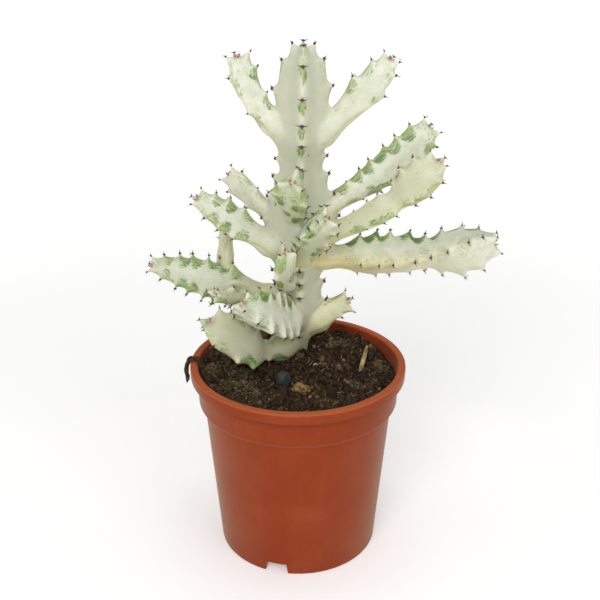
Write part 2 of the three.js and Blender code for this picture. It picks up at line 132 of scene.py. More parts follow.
SIDE_STEMS = (
    side_stem("top_left", (-1, 11, 256), (-26.5, 11.5, 268.5), (-33, 14, 300.5),
              crest=10.6, neck=5.8, full=40, teeth=3, roll=-12, first=32, tip_width=0.78,
              green=0.85, yellow=0.45),
    side_stem("top_right", (1, 11, 250.5), (31.5, 12.5, 270), (51, 14, 299),
              crest=12.3, neck=6.8, full=48, teeth=3, roll=12, first=50, taper=22, tip_width=0.5,
              green=0.7, yellow=0.5, grey=0.3),
    side_stem("left_upper", (-3.5, 17, 194.5), (-24.5, 26.5, 215), (-41, 34, 228),
              crest=11, neck=4.5, full=50, teeth=3, roll=-12, first=34, taper=20, tip_width=0.6,
              green=0.55, cream=0.2, yellow=0.7),
    side_stem("left_middle", (-3.5, 16, 184), (-33, 8, 203), (-57.5, 4, 223),
              crest=13, neck=6.2, full=50, teeth=4, roll=-12, first=42, taper=30, tip_width=0.5,
              green=1.15, yellow=0.7, grey=0.2),
    side_stem("left_long", (-1, 21, 149.5), (-45.5, 26.5, 162), (-89, 26, 173.5),
              crest=16.8, neck=6, full=50, teeth=7, roll=-6, first=44, taper=46, tip_width=0.36,
              tooth=7.2, green=1.1, rib_green=(1, 1, 1), patch_width=1.2, grey=1.0, cream=0.2),
    side_stem("left_riser", (-45, 27, 162), (-44, 30, 181), (-43, 36, 207),
              crest=7, neck=3.9, full=44, teeth=2, roll=0, first=30, facing=(0, -1, 0),
              green=0.5, cream=0.45),
    side_stem("left_bud", (-29, 22, 156), (-40.5, 9, 161), (-49, -2, 165.5),
              crest=8.5, neck=5, full=26, teeth=2, roll=-40, first=22,
              green=1.3, rib_green=(0.4, 0.7, 1.5), patch_width=1.4, lime=0.8, cream=0.25),
    side_stem("front_low", (-3, 18, 143), (-12, -10, 149.8), (-31, -24, 169.5),
              crest=16.6, neck=8.5, full=24, teeth=6, roll=-12, first=17, taper=20, tip_width=0.45,
              pleats=1, green=1.3, rib_green=(1.2, 0.9, 0.6), grey=0.5),
    side_stem("front_upright", (-4, 17, 167), (-10, -10, 173), (-6.5, -22, 200),
              crest=9.5, neck=4.6, full=42, teeth=2, roll=145, first=36,
              green=1.6, lime=0.5, patch_length=1.4, patch_width=1.1, grey=0.6, yellow=0.3),
    side_stem("front_upper", (0, 14, 209), (-3, -10, 219.5), (-3, -31, 243),
              crest=13.8, neck=5.4, full=44, teeth=3, roll=-15, first=30, tooth=5.6,
              green=2.1, patch_width=1.5, grey=1.5, yellow=0.35),
    side_stem("front_right", (1, 16, 181), (2, -10, 199), (15.5, -30, 222),
              crest=12, neck=6.5, full=38, teeth=5, roll=0, first=28, green=1.2, grey=1.0),
    side_stem("right_upper", (1, 15, 207.5), (45, 22.5, 223), (76.5, 28, 258),
              crest=13.8, neck=5.7, full=62, teeth=7, roll=12, first=34, taper=18, tip_width=0.55,
              green=1.1),
    side_stem("right_middle", (1, 15, 193.5), (52.5, 4.5, 208), (78.5, 0, 246),
              crest=15, neck=5.6, full=84, teeth=7, roll=10, first=38, taper=16, tip_width=0.5,
              tooth=5, swells=((63, -0.28, 7),), pleats=3,
              green=1.0, rib_green=(0.15, 0.75, 0.1), cream=0.45, grey=1.0),
    side_stem("right_long", (1, 16, 184), (64, -1, 184.5), (112.5, -6, 200),
              crest=18, neck=6, full=46, teeth=9, roll=-32, first=36, taper=20, tip_width=0.42,
              tooth=4.6, swells=((54, -0.1, 14), (76, -0.28, 10)), twist=-36,
              green=1.4, rib_green=(1, 0.25, 0.3), patch_width=1.3, gold=0.9),
    side_stem("right_low", (1, 23, 130), (15, 23, 143.5), (31, 22, 151),
              crest=9.5, neck=7, full=34, teeth=2, roll=12, first=27, tip_width=0.9,
              green=1.6, rib_green=(1.4, 0.2, 0.3), patch_length=1.5, cream=0.6),
    side_stem("soil_left", (0, 24, 125), (-23, -3, 117), (-52, -8, 151.5),
              crest=16.2, neck=6.4, full=46, teeth=5, roll=-10, first=30, swells=((29, -0.3, 6.5),),
              green=0.9, rib_green=(0.6, 1, 1), grey=1.9, cream=0.4),
)

SKIN = Named(
    columns=22,  # on each rib, closer together near its ridge
    rings=(0, 0.04, 0.09, 0.15, 0.22, 0.31, 0.41, 0.52, 0.64, 0.76, 0.87, 0.95),  # tooth to tooth
    step=1.3, fillet=8, fillet_rounds=40,
)
STREAKS_APART = 40  # so that no two stems have the same streaks
GREEN_PATCH = Named(length=1.35, longest=16, width=5.5, ahead=0.9)
SHIELD = Named(width=1.3, height=1.05, depth=0.7, sunk=0.3)
SPINE = Named(length=2.6, radius=0.34, spread=1.35, rise=0.35, curl=0.45, sides=6)
ARMOUR = Named(main_stem=1.2, side_stem=0.84, crown=0.85)  # size of shields and spines
BUDS = 0.12  # share of the teeth


def smooth(x):
    """A soft step from 0 at 0 to 1 at 1."""
    x = np.clip(x, 0, 1)
    return x * x * (3 - 2 * x)


def bell(x):
    """1 at 0, falling off softly to both sides."""
    return np.exp(-(x ** 2))


def unit(vectors):
    return vectors / np.linalg.norm(vectors, axis=-1, keepdims=True)


def turn(points, degrees):
    """Points turned about the vertical."""
    angle = math.radians(degrees)
    spin = np.array([[math.cos(angle), -math.sin(angle)], [math.sin(angle), math.cos(angle)]])
    turned = np.array(points, float)
    turned[..., :2] = turned[..., :2] @ spin.T
    return turned


def bow(start, middle, end, share):
    """A point on the curve that leaves start towards middle and bends round to end."""
    return (1 - share) ** 2 * start + 2 * share * (1 - share) * middle + share ** 2 * end


def round_about(sides):
    return np.arange(sides) * 2 * math.pi / sides


def level_ring(angles, radius, height):
    height = np.broadcast_to(height, angles.shape)
    return np.stack([radius * np.cos(angles), radius * np.sin(angles), height], -1)


# ---- shader maths ------------------------------------------------------------------------
class Number:
    """A number that varies over a surface. Arithmetic on it adds Math nodes."""

    def __init__(self, finish, socket):
        self.finish = finish
        self.socket = socket

    def math(self, operation, *values):
        node = self.finish.node("Math", {"operation": operation}, *values)
        return Number(self.finish, node.outputs[0])

    def __add__(self, other):
        return self.math("ADD", self, other)

    def __sub__(self, other):
        return self.math("SUBTRACT", self, other)

    def __rsub__(self, other):
        return self.math("SUBTRACT", other, self)

    def __mul__(self, other):
        return self.math("MULTIPLY", self, other)

    __radd__ = __add__
    __rmul__ = __mul__

    def rise(self, low, high):
        """0 below low, 1 above high, with a soft step between them."""
        settings = {"interpolation_type": "SMOOTHSTEP"}
        node = self.finish.node("MapRange", settings, self, low, high, 0, 1)
        return Number(self.finish, node.outputs[0])


class Finish:
    """One material, built up from nodes round a Principled BSDF. body is its colour so far."""

    def __init__(self, name, **constants):
        self.material = bpy.data.materials.new(name)
        self.material.use_nodes = True
        self.tree = self.material.node_tree
        self.shader = self.tree.nodes["Principled BSDF"]
        self.body = None
        for socket, value in constants.items():
            self.shader.inputs[socket.replace("_", " ")].default_value = value

    def node(self, kind, settings, *inputs, **named_inputs):
        node = self.tree.nodes.new("ShaderNode" + kind)
        for setting, value in settings.items():
            setattr(node, setting, value)
        pairs = list(zip([socket for socket in node.inputs if socket.enabled], inputs))
        pairs += [(node.inputs[name], value) for name, value in named_inputs.items()]
        for socket, value in pairs:
            value = getattr(value, "socket", value)
            if isinstance(value, bpy.types.NodeSocket):
                self.tree.links.new(value, socket)
            else:
                socket.default_value = value
        return node

    def carried(self, name):
        """A number stored on the mesh's points."""
        return Number(self, self.node("Attribute", {"attribute_name": name}).outputs["Fac"])

    def place(self, stretch=(1, 1, 1), carried=None):
        """Where a point is, in millimetres, stretched along each axis."""
        if carried:
            source = self.node("Attribute", {"attribute_name": carried}).outputs["Vector"]
        else:
            source = self.node("TexCoord", {}).outputs["Object"]
            stretch = [part / MM for part in stretch]
        return self.node("VectorMath", {"operation": "MULTIPLY"}, source, stretch).outputs[0]

    def noise(self, place, scale, detail=3.0, roughness=0.55):
        """Soft random blots, about 1/scale millimetres across, from 0 to 1."""
        node = self.node("TexNoise", {}, Vector=place, Scale=scale, Detail=detail, Roughness=roughness)
        return Number(self, node.outputs["Fac"])

    def specks(self, place, scale, low, high):
        """Round spots, about 1/scale millimetres apart, larger as low and high are smaller."""
        cells = self.node("TexVoronoi", {}, Vector=place, Scale=scale)
        return (1 - Number(self, cells.outputs["Distance"])).rise(low, high)

    def blend(self, amount, first, second):
        """Goes from the first colour to the second as amount goes from 0 to 1."""
        ends = [colour(end) if isinstance(end, str) else end for end in (first, second)]
        node = self.node("Mix", {"data_type": "RGBA", "clamp_factor": True}, amount, *ends)
        return node.outputs[2]

    def coat(self, amount, code):
        """Lays a colour over the body as amount goes from 0 to 1."""
        self.body = self.blend(amount, self.body, code)

    def bump(self, height, strength, distance):
        node = self.node("Bump", {}, Strength=strength, Distance=distance * MM, Height=height)
        self.paint("Normal", node.outputs["Normal"])

    def paint(self, socket, value):
        self.tree.links.new(getattr(value, "socket", value), self.shader.inputs[socket])

    def done(self):
        self.paint("Base Color", self.body)
        return self.material


def colour(code):
    """A colour from its six-digit screen code."""
    parts = [int(code[i:i + 2], 16) / 255 for i in (1, 3, 5)]
    light = [p / 12.92 if p <= 0.04045 else ((p + 0.055) / 1.055) ** 2.4 for p in parts]
    return (*light, 1)


# ---- finishes ----------------------------------------------------------------------------
def stem_skin():
    """Waxy pale skin: yellow at the necks, feathered green under the teeth, a few flecks. Painted shade
    on the undersides, and paler rib ridges that are partly a painted highlight.
    """
    finish = Finish("pale_stem_skin", Subsurface_Weight=0.1, Subsurface_Scale=2 * MM)
    carried, coat = finish.carried, finish.coat
    evenly = finish.place(carried="straight")
    streaks = finish.noise(finish.place((1, 1, 0.2), carried="straight"), 1.7, 5, 0.6) - 0.5
    mottle = finish.noise(evenly, 0.16)
    fine = finish.noise(evenly, 0.9, 4) - 0.5
    patch = carried("patch")
    finish.body = finish.blend(mottle.rise(0.35, 0.7), "#e2e4d3", "#d3d8c2")
    # The grey, cream, neck yellow and gold coats grow on the undersides: that part is painted shade.
    coat(carried("grey") * 0.6 + fine * 0.3, "#bdc1a9")
    # edge paints the rib ridges paler: partly their own pale colour, partly a painted highlight
    coat(carried("edge") * 0.55, "#ebebd8")
    coat((carried("cream") + mottle * 0.3 - 0.2).rise(0, 1), "#d9d5a6")
    coat((carried("neck") + fine * 0.3).rise(0, 1), "#dcd49a")
    coat((carried("gold") + fine * 0.6) * 0.65, "#dec676")
    coat((patch * 0.9 + mottle * 0.9 + streaks * 2 - 0.5).rise(0, 0.8) * 0.6, "#b9c397")
    feathered = patch * 1.25 + streaks * 3.2 + fine * 0.6 + mottle * 0.4
    coat(feathered.rise(0.5, 1.45) * 0.85, "#9bb06d")
    deep = patch * 0.5 + carried("rim") * 1.1 + streaks * 4.5 + fine * 0.5
    coat(deep.rise(0.62, 1.6) * 0.85, "#587a3c")
    coat((carried("lime") + streaks * 1.6).rise(0.1, 1.1) * 0.85, "#a3bb50")
    coat(finish.specks(evenly, 0.11, 0.93, 0.965) * fine.rise(-0.15, 0.1) * 0.8, "#6f7f4d")
    scars = finish.specks(finish.place((1, 1, 0.55), carried="straight"), 0.075, 0.945, 0.965)
    coat(scars * carried("scarred"), "#8a6a45")
    # darker just above the soil, round the stems' feet
    coat(carried("grime"), "#8d8668")
    finish.paint("Roughness", mottle * 0.12 + 0.36)
    finish.bump(fine + streaks * 0.6, 0.12, 0.6)
    return finish.done()


def shield_horn():
    finish = Finish("shield_horn")
    grain = finish.noise(finish.place(), 1.6)
    finish.body = finish.blend(grain.rise(0.4, 0.7), "#452b24", "#76503f")
    finish.coat(finish.carried("shade") * 0.8, "#9b8a72")
    finish.paint("Roughness", grain * 0.3 + 0.3)
    finish.bump(grain, 0.2, 0.3)
    return finish.done()


def blotted(finish, dark, light, noise, strength, distance):
    """Two colours that run into each other in blots, which stand up a little."""
    blots = finish.noise(finish.place(), *noise)
    finish.body = finish.blend(blots.rise(0.35, 0.65), dark, light)
    finish.bump(blots, strength, distance)
    return finish.done()


def soft_growth(name, dark, light):
    """The skin of a leaflet or a bud."""
    finish = Finish(name, Roughness=0.45, Subsurface_Weight=0.15, Subsurface_Scale=MM)
    return blotted(finish, dark, light, (1.3, 2), 0.1, 0.2)


def stony(name, dark, light, scale, roughness):
    """Stone, bark or wood."""
    return blotted(Finish(name, Roughness=roughness), dark, light, (scale, 5, 0.6), 0.5, 0.5)


def pot_plastic():
    """Moulded terracotta-coloured plastic, scuffed, with dust and soil marks. Painted light makes the lip's
    top and the inside of the wall lighter, and a painted shadow lies under the lip.
    """
    finish = Finish("pot_plastic", Specular_IOR_Level=0.08, Sheen_Weight=0.12, Sheen_Roughness=0.45,
                    Sheen_Tint=(0.8, 1, 0.45, 1))
    coat = finish.coat
    place = finish.place()
    clouds = finish.noise(place, 0.035)
    grain = finish.noise(place, 1.4)
    upright = finish.noise(finish.place((1, 1, 0.08)), 0.22, 4)
    dust = (grain * 0.5 + clouds * 0.7).rise(0.62, 0.8)
    high = Number(finish, finish.node("SeparateXYZ", {}, place).outputs["Z"])
    inner = finish.carried("inner")
    finish.body = finish.blend(clouds.rise(0.3, 0.7), "#8d3617", "#943b1a")
    coat(upright.rise(0.52, 0.8) * 0.1, "#b35a35")
    coat(dust * 0.08, "#b98468")
    # painted light: the top of the lip painted a lighter orange, where light falls on it
    coat(high.rise(119.6, 120.6) * 0.55, "#c96a40")
    # painted shadow: a dark band painted on the wall just under the lip's overhang
    under_lip = high.rise(111.2, 113.2) - high.rise(114.1, 114.9)
    coat(under_lip * 0.75, "#54200f")
    specks = finish.specks(place, 0.16, 0.88, 0.94) * finish.noise(place, 0.06, 2).rise(0.5, 0.66)
    coat(specks * 0.5, "#6b4a36")
    # painted light: the inside of the wall painted a lighter orange than the outside
    coat(inner * 0.5, "#a8472a")
    soiled = inner * (grain + finish.noise(place, 0.12)).rise(0.95, 1.25) * high.rise(112, 119)
    coat(soiled * 0.6, "#4a3424")
    finish.paint("Roughness", grain * 0.12 + dust * 0.06 + 0.33)
    finish.bump(grain * 0.5 + upright * 0.5, 0.08, 0.4)
    return finish.done()


def peat(name, dark, middle, light):
    """Damp peat: dark, fibrous and crumbly, each crumb its own shade."""
    finish = Finish(name, Roughness=0.95, Specular_IOR_Level=0.2)
    place = finish.place()
    crumbs = finish.noise(place, 0.5, 6, 0.7)
    clouds = finish.noise(place, 0.09)
    finish.body = finish.blend(crumbs.rise(0.38, 0.66), dark, middle)
    finish.coat(finish.carried("shade").rise(0.45, 1), light)
    green = (finish.carried("mossy") + clouds * 0.4 - 0.2).rise(0.1, 0.7) * crumbs.rise(0.36, 0.6)
    finish.coat(green * 0.75, "#665a3b")
    finish.bump(crumbs, 0.9, 1.3)
    return finish.done()


# ---- meshes ------------------------------------------------------------------------------
def in_scene(name, data):
    body = bpy.data.objects.new(name, data)
    bpy.context.scene.collection.objects.link(body)
    return body


def plain_mesh(name, points, faces):
    """A mesh from points in millimetres."""
    mesh = bpy.data.meshes.new(name)
    mesh.from_pydata((np.asarray(points, float) * MM).tolist(), [], [list(face) for face in faces])
    return mesh


def bare_object(name, points, faces):
    return in_scene(name, plain_mesh(name, points, faces))


def dressed(name, mesh, material, slot=None, replaces=(), **carried):
    """The mesh as a piece that rides on the whole plant. carried is what its points carry."""
    for key, values in carried.items():
        values = np.asarray(values, np.float32)
        is_vector = values.ndim == 2
        layer = mesh.attributes.new(key, "FLOAT_VECTOR" if is_vector else "FLOAT", "POINT")
        layer.data.foreach_set("vector" if is_vector else "value", values.ravel())
    mesh.materials.clear()
    mesh.materials.append(material)
    mesh.polygons.foreach_set("material_index", [0] * len(mesh.polygons))
    mesh.polygons.foreach_set("use_smooth", [True] * len(mesh.polygons))
    body = in_scene(name, mesh)
    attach(body, "root")
    if replaces:
        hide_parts(*replaces)


def piece(name, points, faces, *looks, **carried):
    mesh = plain_mesh(name, points, faces)
    mesh.validate()
    dressed(name, mesh, *looks, **carried)


def cut_or_joined(body, tools, operation, solver):
    """The body's mesh after each tool is cut from it or joined to it. No object stays behind."""
    for tool in tools:
        step = body.modifiers.new(tool.name, "BOOLEAN")
        step.operation = operation
        step.solver = solver
        step.object = tool
    graph = bpy.context.evaluated_depsgraph_get()
    mesh = bpy.data.meshes.new_from_object(body.evaluated_get(graph))
    for used in (body, *tools):
        bpy.data.objects.remove(used)
    return mesh


def mesh_values(mesh, what):
    """The co or the normal of each of a mesh's points."""
    flat = np.empty(len(mesh.vertices) * 3, np.float32)
    mesh.vertices.foreach_get(what, flat)
    return flat.reshape(-1, 3).astype(float)


def tube_faces(rings, columns):
    """Quads between rings of points, then the fans that close both ends."""
    faces = []
    start, end = rings * columns, rings * columns + 1
    last = (rings - 1) * columns
    beside = [(column + 1) % columns for column in range(columns)]
    for low in range(0, last, columns):
        high = low + columns
        faces += [(low + i, low + j, high + j, high + i) for i, j in enumerate(beside)]
    for i, j in enumerate(beside):
        faces += [(start, j, i), (end, last + i, last + j)]
    return faces


class Heap:
    """Many small shapes gathered into one mesh, each with its own shade."""

    def __init__(self):
        self.points = []
        self.faces = []
        self.shades = []
        self.count = 0

    def add(self, points, faces, shade):
        self.points.append(points)
        self.faces += [tuple(index + self.count for index in face) for face in faces]
        self.shades.append(np.broadcast_to(np.asarray(shade, float), (len(points),)))
        self.count += len(points)

    def piece(self, name, *looks):
        piece(name, np.concatenate(self.points), self.faces, *looks, shade=np.concatenate(self.shades))


def ball(detail):
    """Points and faces of a many-sided ball of radius 1."""
    shell = bmesh.new()
    bmesh.ops.create_icosphere(shell, subdivisions=detail, radius=1)
    points = np.array([vertex.co[:] for vertex in shell.verts])
    faces = [tuple(vertex.index for vertex in face.verts) for face in shell.faces]
    shell.free()
    return points, faces


def strand(path, radii, sides):
    """A round strand through points, with a radius at each."""
    along = unit(np.gradient(path, axis=0))
    helper = np.array([0.3, 0.2, 1]) if abs(along[0][2]) < 0.8 else np.array([1, 0.2, 0.1])
    across = unit(np.cross(along, helper))
    other = np.cross(along, across)
    angles = round_about(sides)[:, None]
    rings = path[:, None] + radii[:, None, None] * (
        across[:, None] * np.cos(angles) + other[:, None] * np.sin(angles))
    points = np.concatenate([rings.reshape(-1, 3), path[:1], path[-1:]])
    return points, tube_faces(len(path), sides)


def curved(points, count):
    """A smooth curve through points, as count points."""
    points = np.asarray(points, float)
    padded = np.concatenate([2 * points[:1] - points[1:2], points, 2 * points[-1:] - points[-2:-1]])
    places = np.linspace(0, len(points) - 1 - 1e-9, count)
    first = places.astype(int)
    t = (places - first)[:, None]
    a, b, c, d = (padded[first + i] for i in range(4))
    bend, twist = 2 * a - 5 * b + 4 * c - d, 3 * b - a - 3 * c + d
    return 0.5 * (2 * b + (c - a) * t + bend * t ** 2 + twist * t ** 3)


# ---- stems -------------------------------------------------------------------------------
class Stem:
    """A ribbed stem on its curve. Distances run along it from its root."""

    def __init__(self, spec):
        self.__dict__.update(spec)
        self.is_main = self.name == MAIN_STEM["name"]
        root, bend, tip = ends = [np.array(end, float) for end in (self.root, self.bend, self.tip)]
        share = np.linspace(0, 1, 400)[:, None]
        steps = np.linalg.norm(np.diff(bow(*ends, share), axis=0), axis=1)
        walked = np.concatenate([[0], np.cumsum(steps)])
        self.length = walked[-1]
        self.stations = np.linspace(0, self.length, round(self.length) + 1)
        share = np.interp(self.stations, walked, share[:, 0])[:, None]
        self.point = bow(*ends, share)
        self.along = unit((1 - share) * (bend - root) + share * (tip - bend))
        self.up = np.empty_like(self.along)
        across = np.array(self.facing, float)
        for index, way in enumerate(self.along):
            self.up[index] = across = unit(across - way * (across @ way))
        self.side = np.cross(self.along, self.up)
        self.spacing = (self.length - self.first) / (self.teeth - 1)
        self.rows = self.tooth_rows()
        self.turn = 2 * math.pi / self.ribs

    def tooth_rows(self):
        tooth = np.arange(self.teeth)
        share = (tooth / (self.teeth - 1)) ** self.crowding
        uneven = UNEVEN.share * self.spacing * np.sin(UNEVEN.turn * tooth)
        uneven += CROWDED_AT_TIP * self.spacing * np.exp(tooth - (self.teeth - 2.0))
        uneven[[0, -1]] = 0
        return self.first + share * (self.length - self.first) + uneven

    def stagger(self, rib, distance):
        """How far a rib's teeth are shifted along the stem. It fades at both ends."""
        fade = np.minimum(smooth(distance / self.first),
                          smooth((self.length - distance) / (1.5 * self.spacing)))
        return RIB_STAGGER[rib] * self.spacing * fade

    def ripe(self, distance):
        """0 on the bare neck, 1 where the stem has its full width."""
        start = self.first / 2
        return smooth((distance - start) / (self.full - start))

    def girth(self, distance):
        """The radius at a tooth and in the hollows, and how far a tooth stands up."""
        ripe = self.ripe(distance)
        past = np.maximum(0, (distance - (self.length - self.taper)) / self.taper)
        narrowing = 1 - (1 - self.tip_width) * np.minimum(past, 1) ** TAPER_POWER
        width = narrowing * (1 + sum(by * bell((distance - at) / reach) for at, by, reach in self.swells))
        flare = bell((distance - FLARE.at) / FLARE.reach) * FLARE.swell
        neck = self.neck * (1 + (0 if self.is_main else flare))
        crest = (neck + (self.crest - neck) * ripe) * width
        core = (neck + (self.crest * CORE[self.ribs] - neck) * ripe) * width
        share = NECK.tooth_share
        return crest, core, self.tooth * (share + (1 - share) * ripe) * narrowing ** 0.5

    def height(self, at):
        """How far the rib stands up to a tooth's full height, 0 to 1."""
        row = np.clip(np.searchsorted(self.rows, at, side="right"), 1, len(self.rows) - 1)
        share = np.clip((at - self.rows[row - 1]) / (self.rows[row] - self.rows[row - 1]), 0, 1)
        drop = TOOTH.drop
        fall = np.clip(1 - share / drop, 0, 1) ** TOOTH.fall
        rise = np.clip((share - drop) / (1 - drop), 0, 1) ** TOOTH.rise
        bare = self.first * NECK.bare
        before = np.clip((at - bare) / (self.first - bare), 0, 1) ** TOOTH.rise
        return np.where(at < self.rows[0], before, fall + rise)

    def unshifted(self, rib, distance):
        """The distance along the plan of teeth that lies at this distance on this rib."""
        plan = np.linspace(0, self.length, 300)
        return np.interp(distance, plan + self.stagger(rib, plan), plan)

    def roll_at(self, distance):
        """The angle of the first rib, which turns a little on its way to the tip."""
        return np.radians(self.roll + self.twist * smooth(2.1 * distance / self.length - 1.1))

    def nearest_rib(self, angle, distance):
        """The nearest rib, and how far round from it, as a share of the way to the next rib."""
        round_from = (angle - self.roll_at(distance)) / self.turn
        rib = np.round(round_from).astype(int)
        return rib % self.ribs, round_from - rib

    def ridge(self, off):
        """The height of a rib's section: 1 on its slightly rounded ridge, 0 in the hollow."""
        off = np.sqrt(off ** 2 + RIDGE_ROUNDING ** 2) - RIDGE_ROUNDING
        return (1 - off) ** RIB_SHARPNESS[self.ribs]

    def section(self, crest, core, fold, ridge):
        return core + (crest - core) * ridge - fold * ridge ** self.pleats

    def radius(self, distance, angle):
        rib, off = self.nearest_rib(angle, distance)
        crest, fold = np.empty(distance.shape), np.empty(distance.shape)
        for index in range(self.ribs):
            on = rib == index
            at = self.unshifted(index, distance[on])
            crest[on], _, tooth = self.girth(at)
            fold[on] = tooth * (1 - self.height(at))
        return self.section(crest, self.girth(distance)[1], fold, self.ridge(np.abs(off) * 2))

    def frame(self, distance):
        """The centre line's point and its directions along, up and sideways, at a distance."""
        return [np.stack([np.interp(distance, self.stations, values[:, i]) for i in range(3)], -1)
                for values in (self.point, self.along, self.up, self.side)]

    def place(self, distance, angle, radius):
        inside = np.clip(distance, 0, self.length)
        point, along, up, side = self.frame(inside)
        outwards = up * np.cos(angle)[..., None] + side * np.sin(angle)[..., None]
        return point + along * (distance - inside)[..., None] + np.asarray(radius)[..., None] * outwards

    def plan_rings(self):
        """Where the skin's rings lie along the plan of teeth, closest together round each tooth."""
        neck = np.linspace(0, self.rows[0], max(8, round(self.rows[0] / SKIN.step)), endpoint=False)
        between = [start + (end - start) * np.array(SKIN.rings)
                   for start, end in zip(self.rows[:-1], self.rows[1:])]
        return np.concatenate([neck, *between, self.rows[-1:]])

    def surface(self):
        """A closed skin over the whole stem, with its crown drawn up into points."""
        plan = self.plan_rings()[:, None]
        share = np.linspace(-1, 1, SKIN.columns, endpoint=False)
        rib = np.repeat(np.arange(self.ribs), len(share))[None]
        off = np.tile(np.sign(share) * np.abs(share) ** 1.5, self.ribs)[None]
        angle = self.roll_at(plan) + (rib + off / 2) * self.turn
        off = np.abs(off)
        ridge = self.ridge(off)
        shift = sum((rib == index) * self.stagger(index, plan) for index in range(self.ribs))
        distance = plan + shift * (1 - smooth(off))
        crest, _, tooth = self.girth(plan)
        core = self.girth(distance)[1]
        radius = self.section(crest, core, tooth * (1 - self.height(plan)), ridge)
        near_end = smooth(1 - (self.length - distance) / CROWN.length)
        lean = near_end * (CROWN.forward * ridge - CROWN.back * (1 - ridge))
        rings = [self.place(distance + lean, angle, radius).reshape(-1, 3)]
        for share in (0.75, 0.5, 0.25):
            lift = lean[-1] * share - CROWN.back * (1 - share) * 0.6
            rings.append(self.place(self.length + lift, angle[-1], radius[-1] * share))
        ends = self.place(np.array([0, self.length - CROWN.back * 0.5]), np.zeros(2), np.zeros(2))
        return np.concatenate([*rings, ends]), tube_faces(len(plan) + 3, angle.shape[1])

    def locate(self, points):
        """Where points lie on this stem: distance, angle, radius and height over its skin."""
        nearest = np.empty(len(points), int)
        at_once = 20000
        for start in range(0, len(points), at_once):
            part = points[start:start + at_once]
            apart = ((part[:, None] - self.point[None]) ** 2).sum(-1)
            nearest[start:start + at_once] = apart.argmin(1)
        away = points - self.point[nearest]
        past = (away * self.along[nearest]).sum(-1)
        distance = self.stations[nearest] + past
        away -= self.along[nearest] * past[:, None]
        radius = np.linalg.norm(away, axis=1)
        angle = np.arctan2((away * self.side[nearest]).sum(-1), (away * self.up[nearest]).sum(-1))
        inside = np.clip(distance, 0, self.length)
        gap = np.hypot(radius - self.radius(inside, angle), distance - inside)
        return distance, angle, radius, gap

    def tooth_tips(self):
        """Each tooth's tip, with its directions out, along and sideways."""
        for row, at in enumerate(self.rows):
            is_crown = row == self.teeth - 1
            crest = self.girth(at)[0]
            for rib in range(self.ribs):
                angle = self.roll_at(at) + rib * self.turn
                here = at + self.stagger(rib, at) + is_crown * CROWN.forward
                point = self.place(here, angle, crest)
                along = self.frame(np.clip(here, 0, self.length))[1]
                out = unit(self.place(here, angle, crest + 1) - point)
                yield Named(point=point, out=out, along=along, sideways=np.cross(along, out),
                            is_crown=is_crown, ripe=self.ripe(at))


# ---- skin over all stems -----------------------------------------------------------------
def smoothed(mesh, values, amount, rounds):
    """Each point's values drawn towards its neighbours', each by its own amount."""
    pairs = np.empty(len(mesh.edges) * 2, np.int32)
    mesh.edges.foreach_get("vertices", pairs)
    one, other = pairs.reshape(-1, 2).T
    count = len(values)
    neighbours = np.bincount(one, minlength=count) + np.bincount(other, minlength=count)
    neighbours = np.maximum(neighbours, 1)[:, None]
    for _ in range(rounds):
        total = [np.bincount(one, column[other], count) + np.bincount(other, column[one], count)
                 for column in values.T]
        values = values + (np.stack(total, -1) / neighbours - values) * amount[:, None]
    return values


def filleted(mesh, points, joint):
    """The creases between stems filled up smoothly. Nothing else moves inwards."""
    soft = smoothed(mesh, points, 0.6 * joint, SKIN.fillet_rounds)
    normals = mesh_values(mesh, "normal")
    outwards = np.maximum(0, ((soft - points) * normals).sum(-1))
    filled = points + normals * outwards[:, None]
    return smoothed(mesh, filled, 0.5 * joint, 3)


def green_patches(stem, distance, arc, rib, face, rng):
    """How far inside the green patch below a tooth each point lies, and the patches' darker rims."""
    patch, rim = np.zeros((2, len(distance)))
    for index in range(stem.ribs):
        for side in (-1, 1):
            on = (rib == index) & (face == side)
            for row, at in enumerate(stem.rows):
                reach = min(GREEN_PATCH.longest, stem.spacing * GREEN_PATCH.length)
                reach *= stem.patch_length * rng.uniform(0.75, 1.15)
                width = GREEN_PATCH.width * stem.patch_width * min(1, stem.crest / 13)
                width *= rng.uniform(0.7, 1.15)
                strength = stem.green * stem.rib_green[index] * rng.uniform(0.65, 1.2)
                if row == stem.teeth - 1:
                    strength *= 0.5
                behind = at + stem.stagger(index, at) + GREEN_PATCH.ahead - distance[on]
                share = np.clip(behind / reach, 0, 1)
                far_edge = width * np.sin(math.pi * share ** 0.75) ** 0.8 + 1e-3
                inside = 1 - arc[on] / far_edge
                ends = smooth(share * 6) * smooth((1 - share) * 3)
                darker = bell((inside - 0.3) / 0.3) * smooth(share * 2)
                patch[on] = np.maximum(patch[on], smooth(inside * 1.1 + 0.25) * ends * strength)
                rim[on] = np.maximum(rim[on], darker * ends * strength)
    return patch, rim


def nearest_stems(stems, points):
    """For each point: the stem that it lies on, where on it, and how far off the next stem is."""
    count = len(points)
    first, second = np.full((2, count), np.inf)
    owner = np.zeros(count, int)
    where = np.zeros((count, 3))
    for index, stem in enumerate(stems):
        margin = stem.crest + SKIN.fillet + 2
        low, high = stem.point.min(0) - margin, stem.point.max(0) + margin
        near = np.flatnonzero(((points > low) & (points < high)).all(1))
        *place, gap = stem.locate(points[near])
        closer = gap < first[near]
        second[near] = np.where(closer, first[near], np.minimum(second[near], gap))
        first[near] = np.where(closer, gap, first[near])
        owner[near[closer]] = index
        where[near[closer]] = np.stack(place, -1)[closer]
    return owner, where, second


